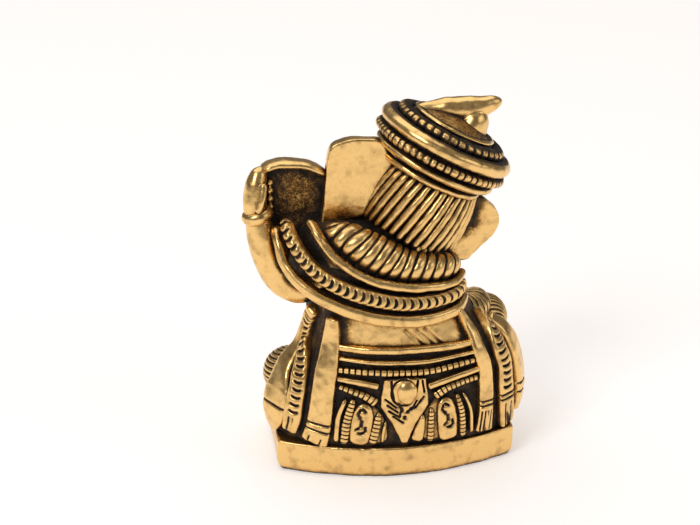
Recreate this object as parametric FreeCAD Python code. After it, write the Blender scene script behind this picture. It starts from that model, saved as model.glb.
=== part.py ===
"""Small seated elephant-headed deity, a solid brass casting about 50 mm tall.

The figure sits on a low barrel-shaped plinth, left leg folded flat and right knee raised. The head
leans towards its right shoulder. The left hand is lifted beside the ear and holds an axe, and the
right hand rests on the raised knee with a sweet in its palm. A garland of three bands lies across
the shoulders, a three-strip stole hangs down each side, and a belt with swags crosses the hips.

Frame: millimetres, +Z up, the face looks along -Y, the figure's left hand is on +X. The origin is
the middle of the plinth's flat underside. Each node is one of the separately formed pattern pieces
that the casting is built up from, and each piece is trimmed to the pieces that it sits on, so that
neighbours meet face to face.
"""

import FreeCAD
import Part
import math
import os

V = FreeCAD.Vector
UP = V(0, 0, 1)

# ---------------------------------------------------------------- driving dimensions, millimetres
PLINTH_WIDTH = 33.2
PLINTH_FRONT = 11.5            # from the origin to the middle of the front edge
PLINTH_BOW = 4.4               # how far the middle of the back and front edges bows out
PLINTH_HEIGHT = 4.5
PLINTH_CORNER = 3.0
PLINTH_FOOT_ROUND = 1.6

HIP_HEIGHT = 13.0              # from the plinth's top to the belt
HIP_FOOT_WIDTH = 34.4          # the hips overhang the plinth's sides a little
HIP_TOP_WIDTH = 28.4
HIP_FRONT = 4.5
BODY_BACK = 10.5               # from the origin to the middle of the back
BACK_LEDGE = 1.0               # the plinth's back edge stands this far beyond the body
CHEST_HEIGHT = 7.6             # from the belt to the shoulders
CHEST_WIDTH = 21.6
CHEST_SHIFT = 1.8              # the lifted left arm pulls the chest to that side
BELLY_RADIUS = 6.6

SHOULDER_SPAN = 22.0
SHOULDER_DEPTH = 15.8
SHOULDER_THICKNESS = 11.0
SHOULDER_SHIFT = 3.6
SHOULDER_RISE = 17.0           # degrees, the shoulder line climbs to the lifted arm
SHOULDER_BACK_DROP = 14.0      # degrees, the shoulder line falls towards the back

HEAD_LEAN = 27.0               # degrees, towards the figure's right shoulder
HEAD_WIDTH = 13.0
HEAD_DEPTH = 14.4
HEAD_HEIGHT = 14.6
NECK_OFFSET = -1.4
NECK_ABOVE_CHEST = 6.9
EAR_THICKNESS = 1.8
EYE_SPREAD = 0.57              # share of the head's half width

TURBAN_WIDTH = 17.6            # across the widest coil's centre line
TURBAN_FOOT = 9.0              # from the head's origin to the lowest coil, along the lean
COIL_RADIUS = 0.8
JEWEL_SEAT = 0.1               # how deep the turban's drop is let into the widest coils
STRAND_COUNT = 15
STRAND_RADIUS = 0.46
ROLL_RADIUS = 2.45

LEG_RADIUS = 3.9
SHIN_RADIUS = 2.6
ARM_RADIUS = 1.9
BANGLE_RADIUS = 0.5
AXE_THICKNESS = 2.0
AXE_RIM_RADIUS = 0.85
STOLE_WIDTH = 2.2
STOLE_THICKNESS = 1.5
BAND_RADIUS = 0.95
BEAD_RADIUS = 0.42
BEAD_PITCH = 0.95
BEAD_SEAT = 0.05               # how deep a bead's flat back is let into the body

OVAL_POWER = 2.5               # how square the body's plan is
PLINTH_TOP = PLINTH_HEIGHT
PLINTH_BACK = BODY_BACK + BACK_LEDGE
BELT_Z = PLINTH_TOP + HIP_HEIGHT
CHEST_Z = BELT_Z + CHEST_HEIGHT
HEAD_ORIGIN = V(NECK_OFFSET, 0.0, CHEST_Z + NECK_ABOVE_CHEST)

CRUMB = 0.2                    # a cut-off part smaller than this share of its piece isn't kept

made = {}


# ------------------------------------------------------------------------------- shape helpers
def node(name, shape, seats_on=()):
    """Trims a piece to the pieces that it sits on, and drops the crumbs that this cuts off."""
    for other in seats_on:
        if shape.BoundBox.intersect(made[other].BoundBox):
            shape = shape.cut(made[other])
    largest = max(s.Volume for s in shape.Solids)
    kept = [s for s in shape.Solids if s.Volume > CRUMB * largest]
    made[name] = kept[0] if len(kept) == 1 else Part.makeCompound(kept)


def smooth(points, closed=False):
    """A smooth curve through points."""
    curve = Part.BSplineCurve()
    curve.interpolate(Points=[V(p) for p in points], PeriodicFlag=closed)
    return curve


def oval(z, half_x, back, front, shift=0.0):
    """A level outline, squarer than an ellipse, with its own depth at the back and at the front."""
    points = []
    for i in range(20):
        t = 2 * math.pi * i / 20
        c, s = math.cos(t), math.sin(t)
        depth = back if s > 0 else front
        points.append(V(shift + half_x * math.copysign(abs(c) ** (2 / OVAL_POWER), c),
                        depth * math.copysign(abs(s) ** (2 / OVAL_POWER), s), z))
    return Part.Wire([smooth(points, closed=True).toShape()])


def ellipsoid(center, rx, ry, rz, lean=0.0, nod=0.0):
    """An ellipsoid, nodded about X and then leaned about Y, in degrees."""
    matrix = FreeCAD.Matrix()
    matrix.scale(V(rx, ry, rz))
    shape = Part.makeSphere(1.0).transformGeometry(matrix)
    shape.rotate(V(), V(1, 0, 0), nod)
    shape.rotate(V(), V(0, 1, 0), lean)
    shape.translate(center)
    return shape


def limb(points, radii):
    """A round-ended limb: a tapered run between each two points, and a ball at each point."""
    points = [V(*p) for p in points]
    shape = Part.makeSphere(radii[0], points[0])
    for a, b, ra, rb in zip(points, points[1:], radii, radii[1:]):
        along = b.sub(a)
        if abs(ra - rb) < 0.01:
            run = Part.makeCylinder(ra, along.Length, a, along)
        else:
            run = Part.makeCone(ra, rb, along.Length, a, along)
        shape = shape.fuse([run, Part.makeSphere(rb, b)])
    return shape.removeSplitter()


def ribbon(points, outward, width, thickness, count=6):
    """A flat strip along a smooth path. Its broad face looks along outward(point)."""
    curve = smooth(points)
    first, last = curve.FirstParameter, curve.LastParameter
    wires = []
    for i in range(count):
        at = first + (last - first) * i / (count - 1)
        point, along = curve.value(at), curve.tangent(at)[0]
        side = along.cross(outward(point)).normalize()
        out = side.cross(along).normalize()
        half, deep = side * (width / 2), out * (thickness / 2)
        corners = [point + half + deep, point - half + deep, point - half - deep, point + half - deep]
        wires.append(Part.makePolygon(corners + corners[:1]))
    return Part.makeLoft(wires, True, False)


def cord(points, radius):
    """A round cord of one thickness along a smooth path, with flat ends."""
    path = smooth(points)
    start, along = path.value(path.FirstParameter), path.tangent(path.FirstParameter)[0]
    profile = Part.Wire([Part.Circle(start, along, radius).toShape()])
    return Part.Wire([path.toShape()]).makePipeShell([profile], True, True)


def coil(center, radius, tube, axis):
    """A closed ring about an axis."""
    return Part.makeTorus(radius, tube, center, axis)


def in_head(x, y, z):
    """A point given in the leaning head's own axes, from the top of the neck."""
    lean = math.radians(HEAD_LEAN)
    across = V(math.cos(lean), 0, math.sin(lean))
    along = V(-math.sin(lean), 0, math.cos(lean))
    return HEAD_ORIGIN + across * x + V(0, y, 0) + along * z


def from_chest(x, y, z):
    """A point given from the level of the shoulders."""
    return V(x, y, CHEST_Z + z)


def plate(outline, place, back, thickness):
    """A flat plate square to Y, from the (x, z) points of its outline."""
    edge = smooth([place(x, back, z) for x, z in outline], closed=True)
    return Part.Face(Part.Wire([edge.toShape()])).extrude(V(0, -thickness, 0))


# -------------------------------------------------------------------------------- the plinth
half_width = PLINTH_WIDTH / 2


def plinth():
    """A barrel-shaped slab with bowed back and front, rounded corners and a rounded foot."""
    bl, bm, br = V(-half_width, PLINTH_BACK - PLINTH_BOW, 0), V(0, PLINTH_BACK, 0), V(
        half_width, PLINTH_BACK - PLINTH_BOW, 0)
    fl, fm, fr = V(-half_width, PLINTH_BOW - PLINTH_FRONT, 0), V(0, -PLINTH_FRONT, 0), V(
        half_width, PLINTH_BOW - PLINTH_FRONT, 0)
    outline = Part.Wire([Part.Arc(bl, bm, br).toShape(), Part.makeLine(br, fr),
                         Part.Arc(fr, fm, fl).toShape(), Part.makeLine(fl, bl)])
    slab = Part.Face(outline).extrude(UP * PLINTH_HEIGHT)
    uprights = [e for e in slab.Edges if abs(e.tangentAt(e.FirstParameter).z) > 0.99]
    slab = slab.makeFillet(PLINTH_CORNER, uprights)
    foot = [e for e in slab.Edges if e.BoundBox.ZMax < 0.001]
    return slab.makeFillet(PLINTH_FOOT_ROUND, foot)


node("base_plinth", plinth())


# ---------------------------------------------------------------------------------- the body
def body_half(z):
    """Half width, back, front and sideways shift of the body at a height."""
    if z <= BELT_Z:
        share = (z - PLINTH_TOP) / HIP_HEIGHT
        swell = 1.3 * math.sin(math.pi * share)
        half_x = (HIP_FOOT_WIDTH + (HIP_TOP_WIDTH - HIP_FOOT_WIDTH) * share) / 2 + swell
        return half_x, BODY_BACK, HIP_FRONT, 0.0
    share = min((z - BELT_Z) / CHEST_HEIGHT, 1.0)
    half_x = (HIP_TOP_WIDTH + (CHEST_WIDTH - HIP_TOP_WIDTH) * share) / 2
    return half_x, BODY_BACK - 1.0 * share, HIP_FRONT + 1.0 * share, CHEST_SHIFT * share


def body_wire(z):
    half_x, back, front, shift = body_half(z)
    return oval(z, half_x, back, front, shift)


node("hips", Part.makeLoft([body_wire(PLINTH_TOP + HIP_HEIGHT * i / 3) for i in range(4)], True, False))
node("torso", Part.makeLoft([body_wire(BELT_Z + CHEST_HEIGHT * i / 2) for i in range(3)], True, False))
shoulder_center = from_chest(SHOULDER_SHIFT, BODY_BACK - 9.4, 2.6)
node("shoulders", ellipsoid(shoulder_center, SHOULDER_SPAN / 2, SHOULDER_DEPTH / 2, SHOULDER_THICKNESS / 2,
                            -SHOULDER_RISE, -SHOULDER_BACK_DROP), ["torso"])
belly_center = V(-0.4, -2.2, PLINTH_TOP + 0.72 * HIP_HEIGHT)
node("belly", ellipsoid(belly_center, 1.08 * BELLY_RADIUS, BELLY_RADIUS - 0.5, BELLY_RADIUS),
     ["hips", "torso", "shoulders"])

# ------------------------------------------------------------------------------ legs and feet
left_knee = (half_width - 2.5, -4.5, PLINTH_TOP + 4.7)
node("left_leg", limb([(6.0, -1.5, PLINTH_TOP + 5.0), left_knee, (7.6, -7.6, PLINTH_TOP + SHIN_RADIUS),
                       (0.6, -8.6, PLINTH_TOP + 2.1)], [LEG_RADIUS, LEG_RADIUS, SHIN_RADIUS, 2.0]),
     ["base_plinth", "hips", "torso", "belly"])
right_knee = V(2.8 - half_width, -4.7, BELT_Z - 1.2)
node("right_leg", limb([(-6.0, -1.5, PLINTH_TOP + 5.6), right_knee, (-12.2, -7.6, PLINTH_TOP + 5.4),
                        (-10.0, -8.0, PLINTH_TOP + 1.9)], [LEG_RADIUS, LEG_RADIUS, SHIN_RADIUS, 1.9]),
     ["base_plinth", "hips", "torso", "belly", "left_leg"])
node("left_foot", ellipsoid(V(-2.6, -8.8, PLINTH_TOP + 1.2), 3.1, 1.8, 1.4),
     ["base_plinth", "hips", "belly", "left_leg", "right_leg"])
node("right_foot", ellipsoid(V(-9.0, -9.4, PLINTH_TOP + 1.0), 2.2, 2.0, 1.3),
     ["base_plinth", "hips", "belly", "right_leg", "left_leg", "left_foot"])
node("left_anklet", coil(V(0.7, -8.6, PLINTH_TOP + 2.1), 2.0, BANGLE_RADIUS, V(1, 0.14, 0)),
     ["base_plinth", "hips", "belly", "left_leg", "left_foot", "right_leg"])

# -------------------------------------------------------------------------------- both arms
left_wrist = from_chest(19.0, 2.3, 11.0)
node("left_arm", limb([from_chest(9.0, 1.5, 4.6), from_chest(14.8, 3.8, -0.4), from_chest(17.3, 3.0, 5.0),
                       left_wrist], [3.0, 1.5, ARM_RADIUS + 0.1, ARM_RADIUS - 0.2]), ["torso", "shoulders"])
left_palm = left_wrist + V(-0.3, -0.9, 3.6)
node("left_hand", ellipsoid(left_palm, 1.9, 1.7, 3.4, 8.0), ["left_arm"])
node("left_bangle", coil(left_wrist + V(-0.1, 0, -0.3), ARM_RADIUS - 0.1, BANGLE_RADIUS, V(0.2, 0, 1)),
     ["left_arm", "left_hand"])

right_wrist = right_knee + V(3.2, -3.1, 1.6)
right_elbow = right_knee + V(2.8, 4.1, 2.4)
node("right_arm", limb([from_chest(-5.5, 0.8, -3.0), right_elbow, right_wrist], [2.4, 2.2, 1.7]),
     ["torso", "shoulders", "hips", "belly", "right_leg"])
right_palm = right_wrist + V(2.6, -2.3, 0.6)
node("right_hand", ellipsoid(right_palm, 2.2, 2.2, 1.2), ["right_arm", "right_leg"])
node("right_bangle", coil(right_wrist + V(0, 1.0, 0), ARM_RADIUS - 0.1, BANGLE_RADIUS, V(0, 1, 0)),
     ["right_arm", "right_hand", "right_leg"])
sweet_foot = right_palm + V(0, 0, 0.9)
node("sweet", Part.makeCone(1.5, 0.3, 2.6, sweet_foot), ["right_hand", "right_arm"])

# -------------------------------------------------------------- the axe beside the lifted hand
axe_edge = [(17.2, 15.4), (14.8, 17.0), (11.6, 16.2), (9.2, 14.6)]
axe_outline = axe_edge + [(8.8, 9.0), (12.0, 5.0), (17.0, 7.6)]
node("axe_blade", plate(axe_outline, from_chest, 0.6, AXE_THICKNESS),
     ["left_arm", "left_hand", "left_bangle", "shoulders"])
node("axe_rim", cord([from_chest(x, 0.3, z + 0.4) for x, z in axe_edge], AXE_RIM_RADIUS),
     ["axe_blade", "left_hand", "left_arm"])

# ----------------------------------------------------------------------------------- the head
node("head", ellipsoid(in_head(0, -0.6, 3.7), HEAD_WIDTH / 2, HEAD_DEPTH / 2, HEAD_HEIGHT / 2, -HEAD_LEAN),
     ["shoulders", "torso", "left_arm", "axe_blade"])
trunk_path = [in_head(0, -5.6, 2.6), in_head(0.1, -8.2, -1.6), from_chest(-1.6, -9.6, -0.6),
              from_chest(-3.4, -10.2, -4.0), right_palm + V(3.0, -1.6, 1.2), right_palm + V(1.2, -0.7, 3.0)]
node("trunk", limb(trunk_path, [3.1, 2.5, 2.0, 1.6, 1.2, 0.95]),
     ["head", "shoulders", "belly", "torso", "right_hand", "right_arm", "right_leg", "sweet"])
for side, name, length in ((1, "left_tusk", 3.6), (-1, "right_tusk", 1.8)):
    root = in_head(side * 2.6, -5.6, -0.4)
    tip = in_head(side * 3.7, -6.8 - length, -2.4)
    node(name, limb([root, tip], [0.9, 0.45]), ["head", "trunk", "shoulders", "belly", "torso"])
eye_places = [in_head(side * EYE_SPREAD * HEAD_WIDTH / 2, -6.3, 3.8) for side in (-1, 1)]
node("eyes", Part.makeCompound([ellipsoid(place, 1.2, 0.8, 0.7, -HEAD_LEAN) for place in eye_places]),
     ["head", "trunk"])
node("forehead_mark", ellipsoid(in_head(0, -7.8, 6.4), 0.8, 0.8, 1.5, -HEAD_LEAN), ["head", "trunk"])
ear_root = HEAD_WIDTH / 2
left_outline = [(ear_root - 1.3, 1.0), (ear_root - 0.3, 6.0), (ear_root + 1.3, 10.6), (11.0, 11.2), (14.6, 8.6),
                (13.6, 3.6), (11.4, -2.6), (ear_root + 1.5, -2.4)]
right_outline = [(1.1 - ear_root, 0.6), (0.7 - ear_root, 6.2), (-9.4, 7.6), (-12.8, 7.0), (-14.2, 4.4),
                 (-12.0, 0.6), (-9.0, -2.2), (0.1 - ear_root, -2.2)]
node("left_ear", plate(left_outline, in_head, 2.6, EAR_THICKNESS),
     ["head", "shoulders", "left_arm", "axe_blade", "axe_rim"])
node("right_ear", plate(right_outline, in_head, 0.4, EAR_THICKNESS), ["head", "shoulders", "torso"])


# ------------------------------------------------------------------- the turban, coil by coil
def crown():
    """The wound cloth under the coils, turned about the head's axis."""
    reach = TURBAN_WIDTH / 2
    side = smooth([V(reach - 3.0, 0, -1.0), V(reach - 1.2, 0, 1.0), V(reach - 0.3, 0, 3.2),
                   V(reach - 0.6, 0, 5.0), V(reach - 2.6, 0, 6.8), V(reach - 5.4, 0, 8.0)])
    low, high = side.value(side.FirstParameter), side.value(side.LastParameter)
    outline = Part.Wire([Part.makeLine(V(0, 0, low.z), low), side.toShape(),
                         Part.makeLine(high, V(0, 0, high.z)), Part.makeLine(V(0, 0, high.z), V(0, 0, low.z))])
    shape = Part.Face(outline).revolve(V(), UP, 360)
    shape.rotate(V(), V(0, 1, 0), -HEAD_LEAN)
    shape.translate(turban_at(0))
    return shape


def turban_at(rise):
    """A point on the turban's axis, this far above its lowest coil."""
    return in_head(0.7, 0.0, TURBAN_FOOT + rise)


coils = [("turban_coil_1", 0.0, -1.9, 0.9), ("turban_coil_2", 1.5, -0.8, 0.95),
         ("turban_coil_3", 3.1, 0.0, 1.0), ("turban_coil_4", 4.9, -0.3, 1.3),
         ("turban_coil_5", 6.3, -2.0, 1.05), ("turban_coil_6", 7.2, -3.8, 0.75)]
node("turban_crown", crown(), ["head", "left_ear", "right_ear"])
for name, rise, grow, fat in coils:
    node(name, coil(turban_at(rise), TURBAN_WIDTH / 2 + grow, COIL_RADIUS * fat, turban_at(1).sub(turban_at(0))),
         ["turban_crown", "head", "left_ear", "right_ear"] + [c[0] for c in coils if c[0] in made])
knot_root = turban_at(8.0)
knot_path = [knot_root + V(4.4, -0.4, 0.4), knot_root + V(0.4, -0.4, 0.6), knot_root + V(-3.4, -0.4, 0.8),
             knot_root + V(-6.4, -0.4, 1.5)]
node("topknot", limb(knot_path, [1.0, 1.8, 1.7, 0.8]), ["turban_crown"] + [c[0] for c in coils])


def jewel():
    """A half-round drop whose flat back rests on the two widest coils, in front."""
    half_drop = FreeCAD.Matrix()
    half_drop.scale(V(1.5, 1.0, 2.3))
    shape = Part.makeSphere(1.0, V(), V(0, -1, 0), 0, 90, 360).transformGeometry(half_drop)
    shape.rotate(V(), V(0, 1, 0), -HEAD_LEAN)
    shape.translate(turban_at(4.0) + V(0, JEWEL_SEAT - TURBAN_WIDTH / 2 - COIL_RADIUS, 0))
    return shape


node("turban_jewel", jewel())


# ----------------------------------------------------------------------------------- the hair
def strands():
    """Straight locks side by side from under the turban down the back of the head."""
    rods = []
    for i in range(STRAND_COUNT):
        turn = math.radians(-78 + 156 * i / (STRAND_COUNT - 1))
        top = in_head(6.0 * math.sin(turn), 6.4 * math.cos(turn), TURBAN_FOOT - 1.2)
        foot = in_head(6.7 * math.sin(turn), 7.3 * math.cos(turn) - 0.6, 0.8)
        rods.append(Part.makeCylinder(STRAND_RADIUS, foot.sub(top).Length, top, foot.sub(top)))
    return Part.makeCompound(rods)


node("hair_strands", strands(), ["head", "left_ear", "right_ear", "turban_crown", "turban_coil_1"])
roll_path = [from_chest(8.2, 4.4, 9.2), from_chest(5.6, 6.0, 8.2), from_chest(1.2, 6.8, 6.2),
             from_chest(-3.2, 6.2, 4.4), from_chest(-6.4, 4.2, 3.8)]
node("hair_roll", limb(roll_path, [2.0, ROLL_RADIUS, ROLL_RADIUS + 0.1, ROLL_RADIUS, 2.1]),
     ["head", "shoulders", "torso", "left_ear", "right_ear", "left_arm", "hair_strands"])

# ----------------------------------------------------------------------- the shoulder garland
# Each path has its x, its depth as a share of the body's, and its height from the shoulders.
garland = [
    ("garland_outer_band", 1.0, [(16.2, 0.286, 8.2), (15.2, 0.600, 4.6), (10.6, 0.895, 1.0), (2.3, 0.971, -1.8),
                                 (-5.5, 0.800, -2.5), (-8.6, 0.381, -1.6)]),
    ("garland_rope", 1.1, [(14.9, 0.381, 9.8), (13.4, 0.695, 6.0), (8.6, 0.876, 2.4), (1.8, 0.905, 0.6),
                           (-5.0, 0.771, 0.1), (-8.2, 0.400, 0.7)]),
    ("garland_inner_band", 0.8, [(11.9, 0.419, 9.8), (10.0, 0.667, 7.0), (5.2, 0.800, 4.0), (-0.8, 0.790, 2.2),
                                 (-5.6, 0.657, 1.5), (-8.2, 0.362, 1.6)]),
]
for name, fat, path in garland:
    node(name, cord([from_chest(x, share * BODY_BACK, z) for x, share, z in path], BAND_RADIUS * fat),
         ["shoulders", "torso", "left_arm", "right_arm", "axe_blade", "head", "left_ear", "right_ear",
          "hair_roll", "hair_strands"] + [g[0] for g in garland if g[0] in made])


# --------------------------------------------------------------------- belt, swags and sash
def on_body(angle, z, lift=0.0):
    """A point on the body. The angle is 90 degrees in the middle of the back and falls to the left."""
    half_x, back, front, shift = body_half(z)
    c, s = math.cos(math.radians(angle)), math.sin(math.radians(angle))
    out = V(c / half_x, s / back, 0).normalize()
    return V(shift + half_x * math.copysign(abs(c) ** (2 / OVAL_POWER), c),
             back * abs(s) ** (2 / OVAL_POWER), z) + out * lift


def outward(point):
    """The level direction away from the body's axis."""
    half_x, back, front, shift = body_half(point.z)
    return V((point.x - shift) / half_x ** 2, point.y / back ** 2, 0).normalize()


def around(start, end, count=6, lift=0.0):
    """Points on the body from one (angle, z) to another."""
    return [on_body(start[0] + (end[0] - start[0]) * i / (count - 1),
                    start[1] + (end[1] - start[1]) * i / (count - 1), lift) for i in range(count)]


def bead_row(start, end):
    """Half-round beads set on the body, a bead pitch apart, from one (angle, z) to another."""
    curve = smooth(around(start, end, 8, -BEAD_SEAT))
    row = curve.discretize(Number=int(curve.length() / BEAD_PITCH) + 1)
    return Part.makeCompound([Part.makeSphere(BEAD_RADIUS, p, outward(p), 0, 90, 360) for p in row])


BELT_REACH = 44.0              # degrees each side of the middle of the back
SASH_HALF = 9.0                # degrees each side that the hanging sash takes
belt_left, belt_right = 90 - BELT_REACH, 90 + BELT_REACH
body = ["hips", "torso"]
node("waist_rim", ribbon(around((belt_left, BELT_Z + 0.5), (belt_right, BELT_Z + 0.5)), outward, 1.1, 1.3),
     body)
node("waist_cord", ribbon(around((belt_left, BELT_Z - 0.9), (belt_right, BELT_Z - 0.9)), outward, 0.6, 1.2),
     body + ["waist_rim"])
node("waist_beads", bead_row((belt_left, BELT_Z - 2.0), (belt_right, BELT_Z - 2.2)))
SWAG_Z = BELT_Z - 3.2
for name, outer, inner in (("left", belt_left, 90 - SASH_HALF), ("right", belt_right, 90 + SASH_HALF)):
    node(name + "_swag", ribbon(around((outer, SWAG_Z), (inner, SWAG_Z - 1.2)), outward, 1.0, 1.1),
         body + ["waist_cord", "waist_beads"])
    node(name + "_swag_beads", bead_row((outer, SWAG_Z - 1.1), (inner, SWAG_Z - 2.3)))


def sash():
    """The knotted sash in the middle of the back, narrowing to its foot on the plinth."""
    wires = []
    for z, width in ((SWAG_Z + 0.4, 3.4), (SWAG_Z - 3.0, 6.4), (SWAG_Z - 5.4, 2.8), (PLINTH_TOP, 1.2)):
        half, deep, point = V(width / 2, 0, 0), V(0, 0.6, 0), on_body(90, z)
        corners = [point + half + deep, point - half + deep, point - half - deep, point + half - deep]
        wires.append(Part.makePolygon(corners + corners[:1]))
    return Part.makeLoft(wires, True, True)


node("back_sash", sash(), body + ["waist_beads", "left_swag", "right_swag", "left_swag_beads",
                                  "right_swag_beads"])
node("sash_medallion", ellipsoid(on_body(90, SWAG_Z - 1.7, 0.5), 1.5, 0.55, 1.6), body + ["back_sash"])


def cloth_folds(side):
    """The pleats that stand upright between the sash and the stole."""
    folds = []
    for offset, height, width in ((13.0, 3.6, 0.8), (19.0, 5.2, 0.9), (28.0, 5.4, 2.2), (37.0, 4.6, 0.9)):
        foot, top = 90 + side * offset, 90 + side * (offset - 1.5)
        folds.append(ribbon(around((foot, PLINTH_TOP), (top, PLINTH_TOP + height), 4), outward, width, 1.1, 3))
    return Part.makeCompound(folds)


for name, side in (("left", -1), ("right", 1)):
    node(name + "_cloth_folds", cloth_folds(side), body + ["base_plinth", name + "_swag_beads", "back_sash"])


# ----------------------------------------------------------------------------- side stoles
def stole_path(top, foot):
    """A path down the body from one (angle, z) to another, bowed out a little."""
    return around(top, foot, 5, 0.15 * STOLE_THICKNESS)


stoles = [
    ("left_stole_inner", (43.0, CHEST_Z - 1.8), (49.0, PLINTH_TOP), STOLE_WIDTH + 0.4),
    ("left_stole_middle", (24.0, CHEST_Z - 1.8), (35.0, PLINTH_TOP), STOLE_WIDTH - 0.1),
    ("left_stole_outer", (12.0, BELT_Z + 2.0), (14.0, PLINTH_TOP), STOLE_WIDTH),
    ("right_stole_inner", (130.0, CHEST_Z - 2.2), (128.0, PLINTH_TOP), STOLE_WIDTH - 0.2),
    ("right_stole_middle", (147.0, CHEST_Z - 4.6), (145.0, PLINTH_TOP), STOLE_WIDTH),
    ("right_stole_outer", (162.0, CHEST_Z - 5.6), (164.0, PLINTH_TOP), STOLE_WIDTH - 0.2),
]
for name, top, foot, width in stoles:
    node(name, ribbon(stole_path(top, foot), outward, width, STOLE_THICKNESS),
         body + ["base_plinth", "shoulders", "left_leg", "right_leg", "left_arm", "right_arm",
                 "garland_outer_band", "waist_rim", "waist_cord", "waist_beads", "left_swag", "right_swag",
                 "left_swag_beads", "right_swag_beads", "left_cloth_folds", "right_cloth_folds"])

os.makedirs("parts", exist_ok=True)
for name in sorted(made):
    made[name].exportStep(os.path.join("parts", name + ".step"))
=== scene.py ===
import math
import bpy
import numpy as np
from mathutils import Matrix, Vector


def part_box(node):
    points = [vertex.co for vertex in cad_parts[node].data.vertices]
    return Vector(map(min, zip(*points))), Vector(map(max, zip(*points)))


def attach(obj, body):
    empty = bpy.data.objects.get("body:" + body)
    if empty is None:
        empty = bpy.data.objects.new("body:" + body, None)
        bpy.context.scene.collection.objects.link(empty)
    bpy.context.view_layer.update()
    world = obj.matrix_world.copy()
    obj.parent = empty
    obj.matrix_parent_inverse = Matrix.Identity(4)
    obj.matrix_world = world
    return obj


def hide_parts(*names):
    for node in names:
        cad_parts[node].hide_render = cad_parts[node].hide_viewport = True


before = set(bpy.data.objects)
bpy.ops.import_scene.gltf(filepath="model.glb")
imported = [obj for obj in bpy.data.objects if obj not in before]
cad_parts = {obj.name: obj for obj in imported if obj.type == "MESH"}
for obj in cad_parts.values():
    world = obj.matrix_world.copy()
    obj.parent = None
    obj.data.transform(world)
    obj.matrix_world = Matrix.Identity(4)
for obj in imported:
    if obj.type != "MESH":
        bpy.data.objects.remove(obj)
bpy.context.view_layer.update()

# ------------------------------------------------------------------------------ plinth
# The slab under the figure: part of the same brass casting, rounded at its foot and corners by the
# wax worker's thumb, then rubbed on a belt to a soft satin. Its top edge keeps dents from the file,
# and the ledge around the figure is rough and dark, partly black skin in the corner and partly painted shade.
MM = 0.001


def box_mm(node):
    """Lowest corner, highest corner, middle and half sizes of a CAD node, in millimetres."""
    low, high = (np.array(corner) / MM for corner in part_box(node))
    return low, high, (low + high) / 2, (high - low) / 2


def deselect_all():
    if bpy.context.object and bpy.context.object.mode != "OBJECT":
        bpy.ops.object.mode_set(mode="OBJECT")
    bpy.ops.object.select_all(action="DESELECT")


def take(piece):
    deselect_all()
    piece.select_set(True)
    bpy.context.view_layer.objects.active = piece


def points_of(piece):
    """The piece's vertices as an array in millimetres."""
    flat = np.empty(len(piece.data.vertices) * 3, dtype=np.float32)
    piece.data.vertices.foreach_get("co", flat)
    return flat.reshape(-1, 3).astype(float) / MM


def move_points(piece, places):
    piece.data.vertices.foreach_set("co", (places * MM).astype(np.float32).ravel())
    piece.data.update()


def modified(piece, kind, **settings):
    """Adds one modifier to a piece and applies it."""
    take(piece)
    modifier = piece.modifiers.new(kind.title(), kind)
    for key, value in settings.items():
        setattr(modifier, key, value)
    bpy.ops.object.modifier_apply(modifier=modifier.name)


def remeshed(piece, voxel, smooth=4):
    """Melts a piece's parts together, as warm wax does, and softens the joins."""
    modified(piece, "REMESH", mode="VOXEL", voxel_size=voxel * MM)
    if smooth:
        modified(piece, "SMOOTH", factor=0.5, iterations=smooth)


def hand_worked(piece, wobble, size):
    """Makes a surface slightly uneven, as wax rolled and pressed by hand is. Sizes in millimetres."""
    clouds = bpy.data.textures.new("hand_wobble", "CLOUDS")
    clouds.noise_scale = size * MM
    clouds.noise_depth = 1
    modified(piece, "DISPLACE", texture=clouds, texture_coords="LOCAL", strength=2 * wobble * MM,
             mid_level=0.5)


def joined(name, parts):
    """Joins parts into one piece."""
    deselect_all()
    for part in parts:
        part.select_set(True)
    bpy.context.view_layer.objects.active = parts[0]
    if len(parts) > 1:
        bpy.ops.object.join()
    parts[0].name = parts[0].data.name = name
    return parts[0]


def placed(piece, material, *nodes):
    """Finishes a piece: smooth shading, its metal, and the CAD nodes that it stands for."""
    take(piece)
    bpy.ops.object.transform_apply(location=True, rotation=True, scale=True)
    bpy.ops.object.shade_smooth()
    piece.data.materials.clear()
    piece.data.materials.append(material)
    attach(piece, "root")
    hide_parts(*nodes)


def linear(code):
    """An sRGB hex colour as linear RGBA."""
    channels = [int(code[i:i + 2], 16) / 255 for i in (1, 3, 5)]
    return [c / 12.92 if c <= 0.04045 else ((c + 0.055) / 1.055) ** 2.4 for c in channels] + [1.0]


def add(tree, kind, links=(), **settings):
    """Adds a node: settings are its own properties, or in_NAME for a socket's value."""
    made = tree.nodes.new(kind)
    for key, value in settings.items():
        if key.startswith("in_"):
            made.inputs[int(key[3:]) if key[3:].isdigit() else key[3:].replace("_",
                                                                               " ")].default_value = value
        else:
            setattr(made, key, value)
    for source, target in links:
        tree.links.new(source, made.inputs[target])
    return made


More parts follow.
